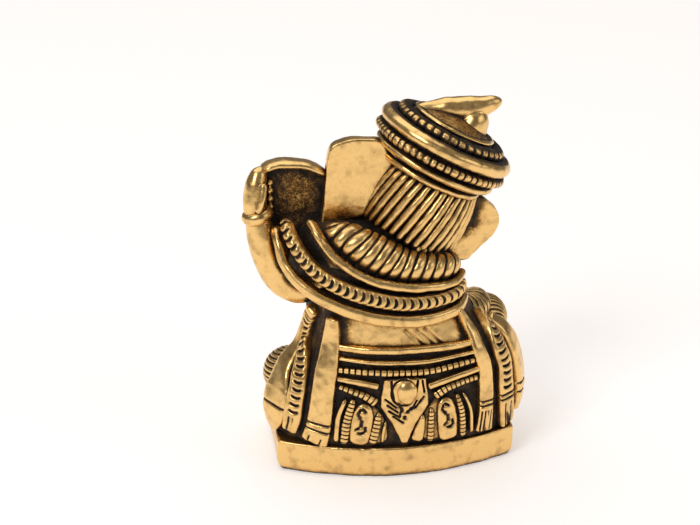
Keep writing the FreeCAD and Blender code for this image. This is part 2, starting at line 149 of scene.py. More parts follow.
def antiqued_brass_with_painted_shade(name, black_from, black_to, shine, grain, speck=0.35, high="#f0c680", body="#c7954b"):
    """Cast brass, blackened in a chemical bath and rubbed back.

    Open surfaces are bright yellow metal with a satin shine. Recesses keep a dull brown-black skin, and broad
    hollows and the places where pieces meet are darkened further with painted shade. black_from and black_to
    are how open a spot must be for the skin and the painted shade to start and finish fading out,
    shine is the rubbed metal's roughness, and grain is the depth of the cast skin's grain, in mm.
    """
    material = bpy.data.materials.new(name)
    material.use_nodes = True
    tree = material.node_tree
    tree.nodes.clear()
    place = add(tree, "ShaderNodeTexCoord").outputs["Object"]

    def noise(size, detail):
        made = add(tree, "ShaderNodeTexNoise", [(place, "Vector")], in_Scale=1 / (size * MM),
                   in_Detail=detail)
        return made.outputs["Fac"]

    def math_of(kind, first, second, third=None):
        """Joins two values, or three; a number stands for an unlinked socket."""
        terms = [term for term in (first, second, third) if term is not None]
        links = [(term, i) for i, term in enumerate(terms) if not isinstance(term, float)]
        numbers = {"in_%d" % i: term for i, term in enumerate(terms) if isinstance(term, float)}
        return add(tree, "ShaderNodeMath", links, operation=kind, **numbers).outputs[0]

    def spread(value, low, high, start, end, kind="LINEAR"):
        return add(tree, "ShaderNodeMapRange", [(value, "Value")], interpolation_type=kind, in_1=low,
                   in_2=high,
                   in_3=start, in_4=end).outputs[0]

    # the black skin comes and goes in blots about 1 mm across and in specks of about 0.2 mm
    blots, specks = noise(1.3, 5.0), noise(0.22, 4.0)
    # how open the spot is: 1 on a ridge, 0 deep in a groove about 1 mm wide. The near reading places the
    # black skin in narrow grooves; the wide one, over 4 mm, paints shade into broad hollows and where pieces
    # meet, so the dark mask is partly skin and partly painted shade
    near = add(tree, "ShaderNodeAmbientOcclusion", samples=8, in_Distance=1.1 * MM).outputs["AO"]
    wide = add(tree, "ShaderNodeAmbientOcclusion", samples=6, in_Distance=4.0 * MM).outputs["AO"]
    clear_of_skin_and_painted_shade = math_of("POWER", math_of("MULTIPLY", near, wide), 0.6)
    blotted = math_of("MULTIPLY_ADD", blots, 0.30, clear_of_skin_and_painted_shade)
    specked = math_of("MULTIPLY_ADD", specks, speck, blotted)
    middle = 0.15 + speck / 2
    skin = add(tree, "ShaderNodeAttribute", attribute_name="black_skin").outputs["Fac"]
    # the value below is 1 on rubbed bright metal and 0 under the black skin and under the painted shade
    worn_and_unshaded = spread(math_of("SUBTRACT", specked, skin), black_from + middle, black_to + middle, 0.0, 1.0,
                  "SMOOTHSTEP")
    colour = add(tree, "ShaderNodeValToRGB", [(worn_and_unshaded, "Fac")])
    stops = [(0.0, "#1a110b"), (0.28, "#36251a"), (0.55, "#8a6430"), (0.8, body), (1.0, high)]
    while len(colour.color_ramp.elements) < len(stops):
        colour.color_ramp.elements.new(0.5)
    for element, (at, code) in zip(colour.color_ramp.elements, stops):
        element.position = at
        element.color = linear(code)
    # brown tarnish left in small clouds on the rubbed metal
    stain = spread(noise(1.6, 9.0), 0.46, 0.80, 0.0, 0.6, "SMOOTHSTEP")
    tarnished = add(tree, "ShaderNodeMix", [(stain, 0), (colour.outputs["Color"], 6)], data_type="RGBA",
                    in_7=linear("#7d5a30"))
    metal = spread(worn_and_unshaded, 0.1, 0.55, 0.15, 1.0)
    dull = spread(worn_and_unshaded, 0.0, 0.9, 0.72, shine)
    rough = math_of("SUBTRACT", math_of("MULTIPLY_ADD", noise(0.6, 5.0), 0.26, dull), 0.12)
    # cast grain, deeper where the skin wasn't rubbed, and sparse sand pits about 0.25 mm across
    pits = add(tree, "ShaderNodeTexVoronoi", [(place, "Vector")], in_Scale=1 / (0.9 * MM), feature="F1")
    hole = spread(pits.outputs["Distance"], 0.0, 0.16, -1.0, 0.0)
    grainy = math_of("MULTIPLY", noise(0.16, 3.0), spread(worn_and_unshaded, 0.2, 0.9, 2.6, 0.6))
    relief = math_of("MULTIPLY_ADD", hole, 0.8, grainy)
    bump = add(tree, "ShaderNodeBump", [(relief, "Height")], in_Strength=1.0, in_Distance=grain * MM)
    shader = add(tree, "ShaderNodeBsdfPrincipled",
                 [(tarnished.outputs[2], "Base Color"), (metal, "Metallic"), (rough, "Roughness"),
                  (bump.outputs["Normal"], "Normal")])
    add(tree, "ShaderNodeOutputMaterial", [(shader.outputs["BSDF"], "Surface")])
    return material


rubbed_brass = antiqued_brass_with_painted_shade("satin_rubbed_cast_brass", 0.10, 0.55, 0.30, 0.010)
low, high, middle, half = box_mm("base_plinth")
PLINTH_BOW = 4.4
PLINTH_SHIFT = 0.5             # the slab stands this far to the figure's left of the middle
PLINTH_FOOT = 1.8              # height of the part that the thumb draws in
PLINTH_TOP = high[2]


def barrel(angle, width, depth, bow):
    """The slab's outline in plan: bowed back and front, straight sides, rounded corners."""
    c, s = math.cos(angle), math.sin(angle)
    x = width * math.copysign(min(1.0, abs(c) * 1.35) ** 0.8, c)
    y = (depth - bow * (x / width) ** 2) * math.copysign(min(1.0, abs(s) * 1.6) ** 0.7, s)
    return x + PLINTH_SHIFT, y


deselect_all()
bpy.ops.mesh.primitive_cylinder_add(vertices=120, radius=half[0] * MM, depth=(high[2] - low[2]) * MM,
                                    location=(0, 0, middle[2] * MM))
plinth = bpy.context.object
take(plinth)
bpy.ops.object.transform_apply(location=True)
places = points_of(plinth)
for spot in places:
    angle = math.atan2(spot[1], spot[0])
    spot[0], spot[1] = barrel(angle, half[0], half[1], PLINTH_BOW)
move_points(plinth, places)
remeshed(plinth, 0.16, 12)
places = points_of(plinth)
share = np.clip(1 - places[:, 2] / PLINTH_FOOT, 0, 1)
places[:, :2] *= (1 - 0.04 * share ** 2)[:, None]
dents = [(-6.6, 11.2, 4.4, 0.5), (4.6, 11.3, 4.3, 0.55), (6.2, 11.1, 4.4, 0.4), (-12.0, 9.6, 4.4, 0.45),
         (11.6, 9.8, 4.4, 0.5), (-3.4, 11.6, 2.6, 0.5), (9.0, 10.8, 2.2, 0.6), (0.4, 11.6, 3.2, 0.35)]
for x, y, z, size in dents:
    gap = np.linalg.norm(places - (x, y, z), axis=1)
    places[:, 1] -= 0.32 * size * np.exp(-(gap / size) ** 2)
move_points(plinth, places)
hand_worked(plinth, 0.10, 4.0)
hand_worked(plinth, 0.022, 0.6)
placed(plinth, rubbed_brass, "base_plinth")

# ------------------------------------------------------------------------------ the body
# Hips, chest, shoulders and belly: the core that the ornaments are pressed onto. Its back is a bowed
# slab wider at the foot. The chased ground between the ornaments stays black; the small of the back
# is rubbed bright.
HIP_LOW, HIP_HIGH = box_mm("hips")[:2]
BELT_Z = HIP_HIGH[2]
CHEST_Z = box_mm("torso")[1][2]
OVAL_POWER = 2.5               # how square the body is in plan
BELLY_DEPTH = 6.1
SIDE_HEIGHTS = [4.5, 7.0, 9.0, 11.4, 13.8, 16.0, 17.5, 19.0, 20.5, 23.0, 25.1]
LEFT_SIDE = [17.1, 17.5, 17.4, 16.7, 15.5, 14.0, 13.0, 12.2, 12.1, 12.3, 12.5]
RIGHT_SIDE = [16.6, 17.3, 17.5, 17.3, 16.8, 16.0, 15.0, 13.2, 11.2, 9.6, 9.0]


def body_half(x, z):
    """Half width on this side, and depth behind the middle, of the body at a height."""
    width = np.interp(z, SIDE_HEIGHTS, LEFT_SIDE if x > 0 else RIGHT_SIDE)
    return width, HIP_HIGH[1] - max(0.0, (z - BELT_Z) / (CHEST_Z - BELT_Z)), -HIP_LOW[1]


def off_body(spot):
    """The level direction away from the body's middle."""
    width, back, front = body_half(spot[0], spot[2])
    depth = back if spot[1] > 0 else front
    out = np.array([spot[0] / width ** 2, spot[1] / depth ** 2, 0.0])
    return out / max(np.linalg.norm(out), 1e-9)


def on_back(x, z, lift=0.0):
    """A point on the body's back at this far to the figure's left of the middle."""
    width, back, _ = body_half(x, z)
    share = min(abs(x) / width, 0.985)
    spot = np.array([share * width * math.copysign(1, x),
                     back * (1 - share ** OVAL_POWER) ** (1 / OVAL_POWER), z])
    return spot + off_body(spot) * lift


def ball(name, centre, radii, lean=0.0, nod=0.0, segments=48):
    """An egg of wax: a ball stretched, nodded about X and leaned about Y, in degrees and mm."""
    deselect_all()
    bpy.ops.mesh.primitive_uv_sphere_add(segments=segments, ring_count=segments // 2, radius=MM)
    bpy.ops.transform.resize(value=tuple(radii))
    bpy.ops.object.transform_apply(scale=True)
    egg = bpy.context.object
    egg.name = name
    egg.rotation_euler = (math.radians(nod), 0, 0)
    bpy.ops.object.transform_apply(rotation=True)
    egg.rotation_euler = (0, math.radians(lean), 0)
    egg.location = Vector(centre) * MM
    bpy.ops.object.transform_apply(location=True, rotation=True)
    return egg


def turned_body(name, floor, top):
    """The body's core between two heights, drawn out of a ball so that both ends are closed."""
    deselect_all()
    bpy.ops.mesh.primitive_uv_sphere_add(segments=96, ring_count=64, radius=MM)
    core = bpy.context.object
    core.name = name
    places = points_of(core)
    for spot in places:
        share = math.acos(max(-1.0, min(1.0, -spot[2]))) / math.pi
        z = floor + (top - floor) * min(1.0, max(0.0, (share - 0.12) / 0.76))
        reach = min(1.0, min(share, 1 - share) / 0.12)
        angle = math.atan2(spot[1], spot[0])
        c, s = math.cos(angle), math.sin(angle)
        width, back, front = body_half(c, z)
        x = width * math.copysign(abs(c) ** (2 / OVAL_POWER), c)
        risen = min(1.0, max(0.0, (z - BELT_Z + 2.0) / (CHEST_Z - BELT_Z)))
        depth = back if s > 0 else front * (1 - 0.65 * risen ** 2)
        y = depth * math.copysign(abs(s) ** (2 / OVAL_POWER), s)
        spot[:] = x * reach, y * reach, z
    move_points(core, places)
    return core


def skinned(piece, amount):
    """Stores how much of the black skin is left on each point: amount(places) from 0 to 1."""
    skin = piece.data.attributes.new("black_skin", "FLOAT", "POINT")
    skin.data.foreach_set("value", np.clip(amount(points_of(piece)), -1, 1).astype(np.float32))


ground_brass = antiqued_brass_with_painted_shade("blackened_chased_brass", 0.72, 1.12, 0.42, 0.030, speck=0.6)
body_brass = antiqued_brass_with_painted_shade("punched_antiqued_brass", 0.16, 0.62, 0.33, 0.026, speck=0.5)
core = turned_body("figure_body", PLINTH_TOP - 0.3, CHEST_Z + 0.4)
middle, half = box_mm("shoulders")[2:]
shoulder = ball("shoulder", middle + (0, -0.3, 0.2), (half[0] * 0.94, half[1] * 0.88, half[2] * 0.97), -17,
                -14)
low, _, middle, half = box_mm("belly")
belly = ball("belly", (middle[0], low[1] + BELLY_DEPTH, middle[2]),
             (half[0] * 1.02, BELLY_DEPTH, half[2] * 1.04))
chest = ball("chest", (1.2, -1.2, CHEST_Z + 1.2), (8.4, 6.0, 5.0), -10)
webs = [ball("web", place, radii, -40) for place, radii in (((13.6, 5.9, 29.6), (2.4, 1.9, 2.3)),
                                                           ((14.6, 4.4, 31.6), (1.5, 1.6, 2.2)))]
figure_body = joined("figure_body", [core, shoulder, belly, chest] + webs)
remeshed(figure_body, 0.2, 10)
hand_worked(figure_body, 0.08, 3.0)
hand_worked(figure_body, 0.03, 0.6)
# three slanting scratches across the small of the back, from a slipped graver
places = points_of(figure_body)
for x, z in ((-2.0, 20.4), (-3.5, 20.3), (-4.6, 20.3)):
    start, end = np.array([x + 1.9, z + 1.2]), np.array([x - 0.6, z - 1.5])
    along = (end - start) / np.linalg.norm(end - start)
    offset = places[:, [0, 2]] - start
    reach = np.clip(offset @ along, 0, np.linalg.norm(end - start))
    gap = np.linalg.norm(offset - reach[:, None] * along, axis=1)
    places[:, 1] -= 0.3 * np.exp(-(gap / 0.2) ** 2) * (places[:, 1] > 5)
move_points(figure_body, places)


def body_skin(places):
    """Black all over the back but for the small of it; the front is rubbed."""
    x, y, z = places.T
    bare = np.clip((8.3 - np.abs(x + 0.2)) / 1.6, 0, 1) * np.clip((z - BELT_Z - 0.2) / 0.5, 0, 1)
    bare *= np.clip((23.4 - z) / 1.2, 0, 1)
    wedge = 0.9 - np.hypot(x - 10.6 - (z - 31.6) * 0.75, (y - 7.8) * 0.2)
    bare = np.maximum(bare, 0.8 * np.clip(wedge / 0.5, 0, 1) * (np.abs(z - 31.6) < 2.2))
    return 0.62 * (1 - 0.75 * bare) * np.clip((y + 1.0) / 2.0, 0, 1)


skinned(figure_body, body_skin)
placed(figure_body, body_brass, "hips", "torso", "shoulders", "belly")

# ------------------------------------------------------------------------------ side stoles
# Three strips of cloth a side, rolled flat in wax and pressed onto the body. The middle one of each
# side is chased with crescents, and the plain ones end in scored lines and a cut fringe. The edges
# are rubbed bright and the narrow gaps between the strips are deep and black.


def smooth_line(points, shares):
    """Places along a smooth line through points, at the given shares of its length."""
    points = np.array(points, dtype=float)
    steps = np.linalg.norm(np.diff(points, axis=0), axis=1)
    at = np.concatenate([[0], np.cumsum(steps)])
    slopes = np.gradient(points, at, axis=0)
    want = np.asarray(shares) * at[-1]
    slot = np.clip(np.searchsorted(at, want, side="right") - 1, 0, len(steps) - 1)
    span = steps[slot]
    t = (want - at[slot]) / span
    a, b = points[slot], points[slot + 1]
    u, v = slopes[slot] * span[:, None], slopes[slot + 1] * span[:, None]
    t = t[:, None]
    return ((2 * t ** 3 - 3 * t ** 2 + 1) * a + (t ** 3 - 2 * t ** 2 + t) * u
            + (3 * t ** 2 - 2 * t ** 3) * b + (t ** 3 - t ** 2) * v)


def drawn(name, path, half_width, half_height, facing, relief=None, square=2.0, rings=160, segments=40,
          blunt=None):
    """A cord or strip of wax: a ball drawn out along a path. All sizes in millimetres.

    half_width and half_height are numbers, or lists spread evenly along the path. facing gives the
    direction that the strip's face looks in at a point. relief(u, a, across) gives how far the skin
    stands out, from the distance along, the angle around (90 degrees on the face) and the distance
    across. square is 2 for a round section and more for a flatter one.
    """
    deselect_all()
    bpy.ops.mesh.primitive_uv_sphere_add(segments=segments, ring_count=rings, radius=MM)
    piece = bpy.context.object
    piece.name = name
    places = points_of(piece)
    share = np.arccos(np.clip(-places[:, 2], -1, 1)) / math.pi
    angle = np.arctan2(places[:, 1], places[:, 0])
    line = smooth_line(path, share)
    length = np.sum(np.linalg.norm(np.diff(smooth_line(path, np.linspace(0, 1, 200)), axis=0), axis=1))
    ahead = smooth_line(path, np.clip(share + 0.004, 0, 1)) - smooth_line(path, np.clip(share - 0.004, 0, 1))
    ahead /= np.linalg.norm(ahead, axis=1)[:, None]
    out = np.array([facing(spot) for spot in line])
    side = np.cross(ahead, out)
    side /= np.linalg.norm(side, axis=1)[:, None]
    out = np.cross(side, ahead)
    wide = np.interp(share, np.linspace(0, 1, np.size(half_width)), np.atleast_1d(half_width))
    tall = np.interp(share, np.linspace(0, 1, np.size(half_height)), np.atleast_1d(half_height))
    end = blunt if blunt else float(np.mean(tall))
    inward = np.clip(np.minimum(share, 1 - share) * length / end, 0, 1)
    closing = np.sqrt(1 - (1 - inward) ** 2)
    c, s = np.cos(angle), np.sin(angle)
    across = np.sign(c) * np.abs(c) ** (2 / square) * wide
    up = np.sign(s) * np.abs(s) ** (2 / square) * tall
    if relief:
        push = relief(share * length, np.degrees(angle), across)
        normal = np.stack([across / wide ** 2, up / tall ** 2], axis=1)
        normal /= np.maximum(np.linalg.norm(normal, axis=1), 1e-9)[:, None]
        across = across + push * normal[:, 0]
        up = up + push * normal[:, 1]
    move_points(piece, line + side * (across * closing)[:, None] + out * (up * closing)[:, None])
    if relief:
        deepest = max(0.2, float(-push.min()))
        skinned(piece, lambda places: 0.85 * np.clip((-push / deepest - 0.2) / 0.5, 0, 1))
    return piece


def scallops(pitch, depth, bend, start=0.0, stop=1e3, shift=0.0, sway=0.8):
    """Crescents chased across a strip, each a curved cut that is deepest in its middle."""
    def relief(u, angle, across):
        inner = across - shift
        phase = ((u + bend * inner ** 2) / pitch + 0.5) % 1.0 - 0.5
        cut = np.exp(-(phase / 0.17) ** 2) * np.clip(2.2 * (1.0 - np.abs(inner) / sway), 0, 1)
        face = np.clip(np.sin(np.radians(angle)), 0, 1) ** 0.5
        return -depth * np.clip(cut, 0, 1) * face * (u > start) * (u < stop)
    return relief


def cut_fringe(scored, tail, cuts, depth=0.3):
    """A plain strip with lines scored across it at the given distances and cuts for a fringe."""
    def relief(u, angle, across):
        face = np.clip(np.sin(np.radians(angle)), 0, 1) ** 0.5
        push = np.zeros_like(u)
        for at in scored:
            push -= 0.8 * depth * np.exp(-((u - at) / 0.17) ** 2)
        end = np.clip((u - tail) / 0.3, 0, 1)
        for x in cuts:
            push -= depth * end * np.exp(-((across - x - 0.05 * (u - tail)) / 0.13) ** 2)
        return push * face
    return relief


def laid(name, metal, wobble, size, *shape, **more):
    """Draws a cord or strip, works it by hand and finishes it as the CAD node of the same name."""
    piece = drawn(name, *shape, **more)
    hand_worked(piece, wobble, size)
    placed(piece, metal, name)


def both(first, second):
    return lambda u, angle, across: np.minimum(first(u, angle, across), second(u, angle, across))


strip_brass = antiqued_brass_with_painted_shade("rubbed_strip_brass", 0.20, 0.58, 0.27, 0.010)
chased_brass = antiqued_brass_with_painted_shade("chased_antiqued_brass", 0.34, 0.74, 0.30, 0.012)
stoles = [
    ("left_stole_inner", [(9.1, 23.2), (9.3, 20.0), (9.8, 17.1), (10.4, 14.5), (10.8, 12.1), (11.1, 9.9),
                          (11.5, 7.1),
                          (12.0, 4.9)], [0.85, 1.25, 1.5, 1.65, 1.65, 1.7, 1.8, 1.95],
     cut_fringe([15.4, 16.4], 17.3, (-0.9, -0.3, 0.3, 0.9))),
    ("left_stole_middle", [(11.3, 23.4), (11.8, 20.7), (12.2, 18.5), (12.8, 16.4), (13.4, 14.3), (13.9, 12.2),
                           (14.3, 10.3), (14.7, 8.0), (15.0, 5.9)],
                           [1.0, 1.1, 1.1, 1.15, 1.25, 1.3, 1.35, 1.45, 1.2],
     both(scallops(1.02, 0.42, 0.36, 1.8, 16.6, -0.2, 0.95), cut_fringe([1.4], 16.9, (-0.3, 0.3)))),
    ("left_stole_outer", [(13.0, 20.4), (13.9, 16.9), (15.2, 13.8), (16.1, 11.4), (16.6, 9.0), (16.9, 6.7),
                          (17.0, 5.6)], [0.5, 0.8, 1.4, 2.0, 2.5, 2.3, 1.4], cut_fringe([12.6], 99, ())),
    ("right_stole_inner", [(-7.1, 23.2), (-8.4, 20.9), (-9.4, 19.1), (-10.1, 17.3), (-10.8, 15.4),
                           (-11.1, 12.8),
                           (-11.2, 9.9), (-11.2, 8.0), (-11.0, 5.3)],
     [0.4, 0.7, 0.9, 1.05, 1.12, 1.15, 1.15, 1.2, 1.4],
     cut_fringe([14.2, 14.9], 15.5, (-0.8, -0.25, 0.3, 0.85))),
    ("right_stole_middle", [(-11.3, 20.8), (-12.6, 18.2), (-13.3, 16.5), (-14.0, 14.4), (-14.2, 11.7),
                            (-14.4, 9.4),
                            (-14.5, 7.4), (-14.7, 4.9)],
     [0.8, 1.1, 1.3, 1.35, 1.35, 1.4, 1.45, 1.4],
     both(scallops(1.02, 0.40, 0.36, 1.0, 12.6, 0.0, 1.05),
          cut_fringe([13.2, 13.9], 14.4, (-0.6, -0.2, 0.2, 0.6)))),
    ("right_stole_outer", [(-13.6, 19.4), (-15.0, 17.6), (-16.1, 15.4), (-16.9, 12.6), (-17.2, 9.6),
                           (-17.2, 6.6),
                           (-16.9, 5.2)], [0.9, 1.4, 1.7, 1.75, 1.7, 1.4, 0.9],
                           cut_fringe([11.2, 12.6], 99, ())),
]
for name, course, widths, relief in stoles:
    path = [on_back(x, z, 0.25) for x, z in course]
    metal = chased_brass if "middle" in name else strip_brass
    laid(name, metal, 0.06, 1.8, path, widths, 0.95, off_body, relief, 3.6, 380, 72, blunt=0.45)

# ------------------------------------------------------------------------------ belt and swags
# A rim, a thin cord and a row of beads round the waist, then a plain band and a second row of beads
# that fall to the middle on each side. The beads are one wax cord, nicked with a blade.


def nicks(pitch, depth, sharp=0.3):
    """A cord nicked at an even pitch into square beads."""
    def relief(u, angle, across):
        phase = np.abs((u / pitch) % 1.0 - 0.5) * 2
        return -depth * np.clip((phase - (1 - sharp)) / sharp, 0, 1) ** 0.8
    return relief


def along_back(course, lift):
    return [on_back(x, z, lift) for x, z in course]


belt = [
    ("waist_rim", [(9.0, 18.9), (4.8, 18.9), (0.8, 18.8), (-3.3, 18.8), (-6.9, 18.7), (-9.6, 18.6)], 0.5,
     0.55, None),
    ("waist_cord", [(8.6, 17.6), (4.8, 17.4), (0.8, 17.2), (-3.3, 17.2), (-6.9, 17.5), (-9.6, 17.5)],
     [0.26, 0.32, 0.34, 0.3, 0.26], 0.7, None),
    ("waist_beads", [(8.8, 16.0), (4.8, 15.9), (0.8, 15.7), (-3.4, 15.7), (-6.9, 16.2), (-10.2, 16.4)],
     [0.42, 0.48, 0.5, 0.48, 0.4], 0.72, nicks(0.82, 0.36)),
    ("left_swag", [(9.0, 14.8), (6.1, 14.4), (3.5, 13.8)], [0.36, 0.46, 0.5], 0.7, None),
    ("left_swag_beads", [(8.8, 13.7), (6.8, 13.0), (5.3, 12.3), (3.9, 11.3)], [0.36, 0.48, 0.66], 0.65,
     nicks(0.72, 0.34)),
    ("right_swag", [(-3.0, 13.4), (-5.5, 14.1), (-7.6, 14.6), (-10.2, 15.0)], [0.5, 0.46, 0.42], 0.7, None),
    ("right_swag_beads", [(-3.9, 11.8), (-5.5, 12.8), (-7.4, 13.4), (-10.0, 13.8)], [0.62, 0.5, 0.42], 0.65,
     nicks(0.66, 0.34)),
]
for name, course, wide, tall, relief in belt:
    metal = strip_brass if relief is None else chased_brass
    laid(name, metal, 0.05, 1.4, along_back(course, 0.3), wide, tall, off_body, relief, 2.8, 420, 32,
         blunt=0.3)

# ------------------------------------------------------------------------------ sash and pleats
# The sash knotted in the middle of the back: an oval boss in a gathered triangle of cloth that runs
# down to a tail. On each side of it the seat is a domed panel of upright pleats, plain, beaded and
# scrolled, with black gouged lines between them.


def engraved(lines, width, depth, scale=1.0):
    """Lines cut with a graver: each is a list of (distance along, distance across), in mm."""
    def relief(u, angle, across):
        push = np.zeros_like(u)
        for line in lines:
            for a, b in zip(line, line[1:]):
                a, b = np.array(a) * scale, np.array(b) * scale
                step = b - a
                t = np.clip(((u - a[0]) * step[0] + (across - a[1]) * step[1]) / (step @ step), 0, 1)
                gap = np.hypot(u - a[0] - t * step[0], across - a[1] - t * step[1])
                push = np.minimum(push, -depth * np.exp(-(gap / width) ** 2))
        return push * np.clip(np.sin(np.radians(angle)), 0, 1) ** 0.4
    return relief


folds = [[(0.3, 1.9), (2.0, 1.75), (3.4, 1.5)], [(0.3, -1.8), (2.0, -1.5), (3.2, -0.9)],
         [(3.0, 2.7), (4.3, 1.2)], [(3.9, 2.4), (5.0, 1.0)], [(4.8, 2.2), (5.8, 0.7)],
         [(5.6, 1.6), (6.6, 0.3)],
         [(3.7, 0.9), (4.7, 0.5), (5.7, 0.7)], [(4.4, -0.9), (5.4, -0.2), (6.4, 0.2)],
         [(3.4, -1.6), (4.7, -1.0)],
         [(2.9, -2.6), (4.5, -1.4)], [(0.5, -2.4), (2.2, -2.7)]]
folds.append([(2.1 + 1.95 * math.cos(turn / 5), 0.25 + 1.6 * math.sin(turn / 5)) for turn in range(33)])
laid("back_sash", chased_brass, 0.05, 1.0, [on_back(0.1, z, 0.15) for z in (14.9, 13.0, 11.4, 9.8, 8.0, 5.1)],
     [2.9, 3.0, 3.3, 3.3, 2.5, 1.6, 1.0, 0.4], 0.75, off_body, engraved(folds, 0.13, 0.42), 4.0, 260, 220,
     blunt=0.3)
boss = ball("sash_medallion", (-0.2, on_back(0, 12.9)[1] + 0.75, 12.8), (1.4, 0.8, 1.75))
hand_worked(boss, 0.08, 1.6)
placed(boss, strip_brass, "sash_medallion")

curl = [[(1.0, 0.5), (1.6, 0.75), (2.3, 0.3), (2.9, -0.15), (3.6, 0.2), (4.0, 0.6)],
        [(3.5, -0.65), (4.0, -0.75), (4.5, -0.3), (4.4, 0.2)], [(1.2, -0.3), (0.8, 0.2)]]
panels = {
    "left_cloth_folds": [
        ([(7.9, 11.9), (8.8, 9.4), (9.2, 5.3)], [0.32, 0.4, 0.4], None),
        ([(6.9, 11.9), (7.7, 9.0), (8.2, 5.1)], [0.45, 0.6, 0.65, 0.6], nicks(0.6, 0.3)),
        ([(5.3, 11.3), (5.9, 8.1), (6.3, 5.0)], [0.8, 1.45, 1.6, 1.5, 1.25], engraved(curl, 0.17, 0.45)),
        ([(3.5, 10.0), (3.9, 7.6), (4.5, 5.0)], [0.35, 0.6, 0.65, 0.6], nicks(0.6, 0.3)),
        ([(2.6, 8.6), (2.9, 7.2), (3.1, 5.2)], [0.2, 0.26, 0.2], None)],
    "right_cloth_folds": [
        ([(-2.4, 9.3), (-2.0, 7.1), (-1.5, 5.1)], [0.3, 0.75, 0.95], None),
        ([(-3.5, 10.2), (-3.5, 7.4), (-3.4, 4.9)], [0.35, 0.48, 0.5, 0.48], nicks(0.6, 0.28)),
        ([(-5.4, 11.5), (-5.8, 8.1), (-6.0, 4.9)], [0.85, 1.35, 1.5, 1.45, 1.25], engraved(curl, 0.17, 0.45)),
        ([(-7.0, 11.8), (-7.8, 8.8), (-8.0, 5.0)], [0.35, 0.45, 0.48, 0.45], nicks(0.6, 0.28)),
        ([(-7.9, 11.8), (-8.9, 9.4), (-9.2, 5.4)], [0.2, 0.28, 0.26], None)],
}
domes = {"left_cloth_folds": [(5.2, 11.6), (5.7, 8.6), (6.1, 4.8)],
         "right_cloth_folds": [(-4.9, 11.8), (-5.3, 8.6), (-5.4, 4.8)]}
for name, pleats in panels.items():
    dome = drawn("dome", along_back(domes[name], -0.36), [0.9, 2.6, 3.4, 3.6, 3.5], 0.78, off_body, None, 3.0,
                 120,
                 60, blunt=1.4)
    skinned(dome, lambda places: np.full(len(places), 0.22))
    strips = [dome]
    strips += [drawn("pleat", along_back(course, 0.2), widths, 0.75, off_body, relief, 3.2, 150, 60,
                     blunt=0.8)
               for course, widths, relief in pleats]
    cloth = joined(name, strips)
    hand_worked(cloth, 0.05, 1.2)
    placed(cloth, chased_brass, name)

# ------------------------------------------------------------------------------ shoulder garland
# Three wax cords laid across the shoulders and the back: a plain broad one, a rope chased with
# half-moons, and a thin plain one close to the hair. Each is pressed down, so its top is round.


def off_shoulders(spot):
    """Away from the middle of the shoulders, and a little upward."""
    out = np.array([spot[0] - 3.6, spot[1] + 1.0, (spot[2] - CHEST_Z) * 0.5 + 1.5])
    return out / np.linalg.norm(out)


outer_path = [(16.4, 3.2, 34.6), (16.0, 5.5, 32.8), (15.5, 6.3, 30.7), (14.7, 7.2, 29.4), (13.6, 8.1, 28.2),
              (11.6, 9.3, 26.8), (8.4, 10.1, 25.2), (4.8, 10.5, 23.9), (0.8, 10.4, 23.1), (-3.4, 9.6, 22.8),
              (-7.4, 7.3, 23.2), (-9.0, 4.2, 23.9)]
rope_path = [(15.2, 4.2, 36.0), (14.9, 6.0, 34.6), (14.1, 7.4, 33.0), (12.9, 8.3, 31.3), (11.3, 9.1, 29.7),
             (8.4, 9.9, 27.9), (4.8, 10.2, 26.5), (0.8, 10.1, 25.5), (-3.4, 9.3, 25.2), (-7.4, 7.0, 25.5),
             (-8.6, 4.2, 26.0)]
thin_path = [(12.0, 4.6, 35.8), (11.4, 6.6, 34.8), (10.3, 7.7, 33.0), (8.8, 8.6, 31.4), (6.7, 9.2, 29.8),
             (4.1, 9.6, 28.5), (0.7, 9.7, 27.6), (-3.4, 9.0, 27.1), (-7.3, 6.7, 26.9), (-8.6, 4.2, 27.4)]
laid("garland_outer_band", strip_brass, 0.07, 2.2, outer_path,
     [0.6, 0.75, 0.8, 0.85, 0.9, 0.9, 0.9, 0.85, 0.7], 1.0, off_shoulders, None, 2.8, 260, 40)
laid("garland_rope", chased_brass, 0.05, 2.0, rope_path, [0.7, 0.85, 0.95, 1.05, 1.1, 1.05, 1.0, 0.95, 0.9],
     1.05, off_shoulders, scallops(1.12, 0.42, 0.42, 0.8, 99.0, 0.0, 0.98), 2.6, 520, 64)
laid("garland_inner_band", strip_brass, 0.09, 1.6, thin_path, [0.45, 0.6, 0.65, 0.7, 0.68, 0.6, 0.5], 0.9,
     off_shoulders, None, 2.5, 240, 32)

# ------------------------------------------------------------------------------ the head
# An egg for the skull with two domes on the brow, cheeks and a lower lip, melted together. It leans
# to the figure's right. The trunk is a tapered roll with rings scored across it, curling to the
# sweet in the right palm. The right tusk is short, as custom has it.
foot_coil, top_coil = box_mm("turban_coil_1")[2], box_mm("turban_coil_6")[2]
HEAD_UP = (top_coil - foot_coil) / np.linalg.norm(top_coil - foot_coil)
HEAD_SIDE = np.array([HEAD_UP[2], 0.0, -HEAD_UP[0]])
LEAN = math.degrees(math.atan2(HEAD_UP[0], HEAD_UP[2]))
SKULL = foot_coil - HEAD_UP * 5.3 - HEAD_SIDE * 0.7 + np.array([0, -0.6, 0])


def in_head(x, y, z):
    """A point from the skull's middle: to its left, back, and up along its lean."""
    return SKULL + HEAD_SIDE * x + np.array([0, y, 0]) + HEAD_UP * z


